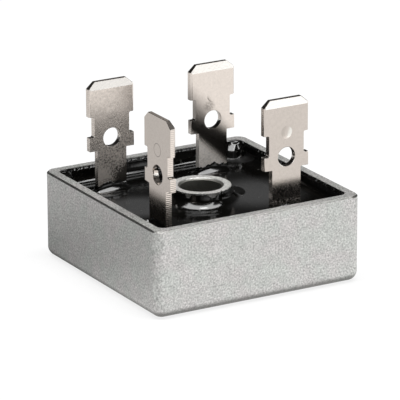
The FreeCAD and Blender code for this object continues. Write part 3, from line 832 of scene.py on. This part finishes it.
def potting_height(x, y):
    """The height of the set potting over a point, in mm."""
    wander = uneven(x, y, WANDER_PER_MM, 3.0)
    ragged = uneven(x, y, RAGGED_PER_MM, 7.0)
    boss = math.hypot(x, y) - BOSS_RADIUS
    gap_x, gap_y = CAVITY_HALF - abs(x), CAVITY_HALF - abs(y)
    climbs = [creep(boss, BOSS_CLIMB + 0.12 * ragged - bare_depth(x, y), *BOSS_CURVE,
                    soft_ramp_hollow),
              wall_climb(gap_x, gap_y, wander, ragged),
              wall_climb(gap_y, gap_x, wander, ragged),
              corner_pool(gap_x, gap_y)]
    climbs += [stem_climb(x, y, name, wander, ragged) for name in TAB_NAMES]
    height = sum(climb ** 2 for climb in climbs) ** 0.5
    drop = PUDDLE_HEIGHT * math.exp(-puddle_reach(x, y) ** 4)
    sunk_in_boss = SINK_IN_BOSS * max(-boss - FILM_INSIDE, 0.0)
    return LEVEL + min(height + drop, MOST_CLIMB) + bead_height(x, y) - sunk_in_boss


print("potting at the wall's middle:", round(potting_height(CAVITY_HALF, 0.0), 2), "mm, in the open:",
      round(potting_height(8.0, 3.0), 2), "mm")

# %% [markdown]
# A grid over the cavity whose points are lifted by that formula gives all the
# curves at once. Only the places near metal bend, so only they are cut finer,
# and the flat middle stays light. The grid runs on inside the boss and the
# stems, where it can't be seen, so that no gap shows round them. Its rim is
# drawn down and closed with a flat bottom, which makes it one solid piece.

# %% Mesh of the potting
CELL, FINE_CUTS, FINE_REACH = 0.22, 2, 1.10
BOSS_CORE = 3.1
FINE_AT_CORNER, FINE_AT_BOSS, FINE_AT_PUDDLE = 1.5, 0.3, 0.8


def corner_depth(x, y):
    """How deep in from a corner a point is, for numbers or for wires."""
    return (2 * CAVITY_HALF - abs(x) - abs(y)) / math.sqrt(2)


def near_metal(x, y):
    """True where the potting curves up and needs a finer mesh."""
    gaps = [CAVITY_HALF - max(abs(x), abs(y)),
            corner_depth(x, y) - FINE_AT_CORNER,
            abs(math.hypot(x, y) - BOSS_RADIUS - FINE_AT_BOSS) - FINE_AT_BOSS,
            puddle_reach(x, y) - FINE_AT_PUDDLE]
    gaps += [box_distance(x, y, middle, half) for middle, half in STEM_BOXES.values()]
    return min(gaps) < FINE_REACH


def make_potting():
    """The potting as one closed piece: a lifted grid, walls and a flat bottom."""
    bm = bmesh.new()
    cells = round(2 * CAVITY_HALF / CELL)
    bmesh.ops.create_grid(bm, x_segments=cells, y_segments=cells, size=CAVITY_HALF)
    core = [face for face in bm.faces if face.calc_center_median().xy.length < BOSS_CORE]
    bmesh.ops.delete(bm, geom=core, context="FACES")
    fine = [edge for edge in bm.edges
            if all(near_metal(vert.co.x, vert.co.y) for vert in edge.verts)]
    bmesh.ops.subdivide_edges(bm, edges=fine, cuts=FINE_CUTS, use_grid_fill=True)
    for vert in bm.verts:
        vert.co.z = potting_height(vert.co.x, vert.co.y)
    rim = [edge for edge in bm.edges if edge.is_boundary]
    for item in bmesh.ops.extrude_edge_only(bm, edges=rim)["geom"]:
        if isinstance(item, bmesh.types.BMVert):
            item.co.z = POTTING_FLOOR
    bottom = [edge for edge in bm.edges if edge.is_boundary]
    bmesh.ops.triangle_fill(bm, edges=bottom, use_beauty=True)
    bmesh.ops.scale(bm, vec=(MM, MM, MM), verts=bm.verts)
    bmesh.ops.recalc_face_normals(bm, faces=bm.faces)
    mesh = bpy.data.meshes.new("potting")
    bm.to_mesh(mesh)
    print("potting:", len(mesh.polygons), "faces,", sum(edge.is_boundary for edge in bm.edges),
          "open edges")
    bm.free()
    mesh.shade_smooth()
    piece = bpy.data.objects.new("potting", mesh)
    scene.collection.objects.link(piece)
    return piece


potting = make_potting()

# %% [markdown]
# Set epoxy is a near-black dielectric with a gloss of its own. Its surface is
# not quite flat: it keeps slow waves from the pour and fine dust. Both are
# small enough to leave to the Bump node and to the roughness. In the open
# middle of the cup a grey painted reflection lies on it, and the rim of the
# drop carries a grey painted highlight. The pool in the back corner is matter
# at its foot.

# %% Finish of the potting
# Each patch of painted reflection: its middle, how far it reaches and how strong it is.
PAINTED_SHEEN_PATCHES = (((7.0, -1.5), 7.5, 1.0), ((-8.4, 1.2), 5.5, 1.2))
WET_BLACK = (0.0020, 0.0019, 0.0016, 1)
PAINTED_SHEEN_GREY = (0.041, 0.041, 0.041, 1)
DUST_GREY = (0.10, 0.10, 0.09, 1)


def painted_sheen_over(x, y, z, puddle, radius):
    """How much grey painted reflection lies on a point: none on the drop, the curves and the boss."""
    painted_sheen = 0
    for (cloud_x, cloud_y), reach, strength in PAINTED_SHEEN_PATCHES:
        away = length_of(x - cloud_x, y - cloud_y)
        painted_sheen = painted_sheen + strength * away.fall(0.3 * reach, reach)
    return painted_sheen * puddle.rise(0.9, 1.1) * z.fall(LEVEL + 0.05, LEVEL + 0.4) * radius.rise(4.0, 4.8)


def make_black_potting():
    """Glossy black epoxy with slow waves, a little dust and a grey painted reflection."""
    material, tree, shader = new_finish("black_potting", IOR=1.50)
    place = place_in_mm(tree)
    x, y, z = place.parts()
    radius = length_of(x, y)
    puddle = puddle_reach(x, y)
    waves = cloudy(place, 2.2, detail=2.0)
    haze = cloudy(place, 1.2, detail=3.0, shift=9.0)
    dust = specks(place, 0.5, 0.10)

    # Painted sheen: a grey painted reflection in the open middle and a grey painted highlight round
    # the drop.
    painted_sheen = painted_sheen_over(x, y, z, puddle, radius) * (0.6 + 0.8 * haze)
    painted_rim_highlight = puddle.rise(0.80, 1.0) * puddle.fall(1.0, 1.25) * radius.rise(4.6, 5.2)
    grey = blend_colours(painted_sheen + 0.25 * painted_rim_highlight, WET_BLACK, PAINTED_SHEEN_GREY)
    colour = blend_colours(dust * 0.25, grey, DUST_GREY)

    depth = corner_depth(x, y)
    back_right = y.rise(3.0, 4.0) * x.rise(7.2, 8.2)
    pool_foot = (depth.rise(1.6, 1.8) * depth.fall(2.8, 3.8) * back_right
                 * z.fall(LEVEL + 1.05, LEVEL + 1.15))
    feed(shader, Base_Color=colour, Roughness=0.08 + 0.07 * haze + 0.2 * dust + 0.26 * pool_foot,
         Normal=bumpy(waves, 0.03, 0.4))
    return material


BLACK_POTTING = make_black_potting()
potting.data.materials.append(BLACK_POTTING)
dress("potting_compound", BLACK_POTTING)
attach(potting, "root")
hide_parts("potting_compound")
print("potting finished with", BLACK_POTTING.name)

# %% [markdown]
# Under the potting lie the pieces that a buyer never sees: a ceramic plate,
# copper plates and straps, silicon chips and solder. A cut-away view or an
# exploded one shows them, so each gets the finish of its own material. One
# function serves the three metals, because they differ only in their numbers.

# %% Finishes of the hidden pieces
def make_plain_metal(name, dark, light, roughness, size):
    """A metal whose colour and roughness wander between two values."""
    material, tree, shader = new_finish(name, Metallic=1.0)
    clouds = cloudy(place_in_mm(tree), size, detail=4.0)
    colour = blend_colours(clouds.rise(0.3, 0.7), dark, light)
    feed(shader, Base_Color=colour, Roughness=roughness + 0.15 * clouds,
         Normal=bumpy(clouds, 0.02, 0.3))
    return material


def make_ceramic():
    """Fired alumina: white, faintly speckled and a little glossy."""
    material, tree, shader = new_finish("white_ceramic", IOR=1.6)
    grain = cloudy(place_in_mm(tree), 0.15, detail=3.0)
    colour = blend_colours(grain.rise(0.3, 0.7), (0.80, 0.79, 0.75, 1), (0.88, 0.87, 0.84, 1))
    feed(shader, Base_Color=colour, Roughness=0.35 + 0.2 * grain, Normal=bumpy(grain, 0.01, 0.3))
    return material


COPPER = make_plain_metal("copper", (0.70, 0.32, 0.20, 1), (0.87, 0.47, 0.32, 1), 0.28, 1.2)
SOLDER = make_plain_metal("solder", (0.50, 0.50, 0.51, 1), (0.68, 0.68, 0.69, 1), 0.32, 0.5)
SILICON = make_plain_metal("silicon", (0.20, 0.21, 0.24, 1), (0.26, 0.27, 0.31, 1), 0.12, 2.0)
hidden = {"insulating_plate": make_ceramic()}
for node_name in ("positive_plate", "negative_plate", "ac_strap_left", "ac_strap_right"):
    hidden[node_name] = COPPER
for side in ("left", "front", "right", "back"):
    hidden["diode_chip_" + side] = SILICON
    hidden["chip_solder_lower_" + side] = SOLDER
    hidden["chip_solder_upper_" + side] = SOLDER
for name in TAB_NAMES:
    hidden["terminal_solder_" + name] = SOLDER
for node_name, finish in hidden.items():
    dress(node_name, finish)
print(len(hidden), "hidden nodes finished")

# %% [markdown]
# The bench is a wide pale floor. The camera sees it pure white, as paper under
# strong light. A mirror finish sees it too, and would lose its shape if it
# were white all round, so in mirrors the far side is painted dimmer and a
# painted shadow lies round the part. A plain diffuse shader is mixed in, because
# glowing white alone would not show the part's soft shadow. The kind of ray
# tells the two uses apart, so no extra light has to fall on the part to whiten
# the floor.

# %% Bench
BENCH_RADIUS = 3.0
BENCH_PALE, PURE_WHITE = (0.88, 0.88, 0.88, 1), (1, 1, 1, 1)
GLOW_SHARE = 0.82
MIRRORED_DIM, PAINTED_SHADOW_NEAR = 0.63, 0.48


def is_ray(tree, kind):
    """1 for one kind of ray and 0 for the others."""
    return Wire.make(tree, "ShaderNodeLightPath", output="Is %s Ray" % kind)


def paint_bench():
    """The material of the bench: diffuse and glowing white, by the kind of ray."""
    material = bpy.data.materials.new("pale_bench")
    material.use_nodes = True
    tree = material.node_tree
    tree.nodes.clear()
    camera_ray = is_ray(tree, "Camera")
    seen = camera_ray + is_ray(tree, "Glossy") + is_ray(tree, "Transmission")
    x, y = Wire.make(tree, "ShaderNodeTexCoord", output="Object").parts()[:2]
    lit_side = (0.42 * x - 0.91 * y).rise(-0.030, 0.015)
    # Painted shadow round the part, seen only in mirrors.
    near = length_of(x, y).fall(0.020, 0.050)
    mirrored = MIRRORED_DIM + (1 - MIRRORED_DIM) * lit_side - PAINTED_SHADOW_NEAR * near * (1 - lit_side)
    strength = camera_ray + mirrored * (1 - camera_ray)
    plain = Wire.make(tree, "ShaderNodeBsdfDiffuse", sockets={"Color": BENCH_PALE})
    white = Wire.make(tree, "ShaderNodeEmission", sockets={"Color": PURE_WHITE, "Strength": 1.0})
    glow = Wire.make(tree, "ShaderNodeMixShader", sockets={0: strength, 2: white})
    both = Wire.make(tree, "ShaderNodeMixShader", sockets={0: seen * GLOW_SHARE, 1: plain, 2: glow})
    Wire.make(tree, "ShaderNodeOutputMaterial", sockets={"Surface": both})
    return material


def make_bench():
    """A wide pale floor."""
    bm = bmesh.new()
    bmesh.ops.create_circle(bm, cap_ends=True, segments=64, radius=BENCH_RADIUS)
    mesh = bpy.data.meshes.new("bench")
    bm.to_mesh(mesh)
    bm.free()
    mesh.materials.append(paint_bench())
    floor = bpy.data.objects.new("bench", mesh)
    scene.collection.objects.link(floor)
    return floor


bench = make_bench()
print("bench:", 2 * BENCH_RADIUS, "m across")

# %% [markdown]
# Metal and glossy epoxy show the room more than the lamps, so the room is what
# shapes them: bright low down in front, where the tabs and the right-hand face
# look, and dim behind, so that the flat potting stays black. It is painted by
# direction in the world's nodes, where two soft steps of the direction vector
# set how bright each side is. Panels of glowing card would do the same, but a
# formula has no edges that a mirror could show.

# %% Room
ROOM_FRONT, ROOM_HAZE, ROOM_RIGHT, ROOM_BACK = 1.40, 0.12, 0.045, 0.015


def make_room():
    """A world that is bright toward the front and the right."""
    world = bpy.data.worlds.new("studio_room")
    scene.world = world
    world.use_nodes = True
    tree = world.node_tree
    tree.nodes.clear()
    x, y, z = Wire.make(tree, "ShaderNodeTexCoord", output="Generated").parts()
    toward_front = (0.60 * x - 0.80 * y).rise(0.30, 0.80)
    toward_right = (0.95 * x + 0.3 * y).rise(0.2, 1.0) * z.fall(0.35, 0.8)
    strength = (ROOM_BACK + ROOM_HAZE * toward_front * z.fall(0.3, 0.8)
                + ROOM_FRONT * toward_front * z.fall(0.20, 0.30)
                + ROOM_RIGHT * toward_right * (1 - toward_front))
    camera_ray = is_ray(tree, "Camera")
    strength = camera_ray + strength * (1 - camera_ray)
    glow = Wire.make(tree, "ShaderNodeBackground",
                     sockets={"Color": PURE_WHITE, "Strength": strength})
    Wire.make(tree, "ShaderNodeOutputWorld", sockets={"Surface": glow})
    return world


print("room:", make_room().name)

# %% [markdown]
# A wide area lamp hangs overhead as a soft box and draws the highlights in the
# potting's curves. Its width is turned with the camera, so that they lie level
# in the view. A small lamp inside it is the hot middle that a real soft box
# has, which gives each highlight a brighter core.

# %% Lamps
def add_lamp(name, place, width, depth, power):
    """A soft box that shines straight down and is turned with the camera."""
    data = bpy.data.lights.new(name, "AREA")
    data.shape = "RECTANGLE"
    data.size = width
    data.size_y = depth
    data.energy = power
    lamp = bpy.data.objects.new(name, data)
    scene.collection.objects.link(lamp)
    lamp.location = place
    lamp.rotation_euler = (0.0, 0.0, CAMERA_TURN)
    print("lamp", name, power, "W at", in_mm(lamp.location), "mm")


add_lamp("overhead_soft_box", (0.03, -0.05, 0.62), 0.75, 0.27, 6.0)
add_lamp("soft_box_core", (0.03, -0.05, 0.61), 0.12, 0.08, 0.5)
scene.view_settings.view_transform = "Standard"

# %% [markdown]
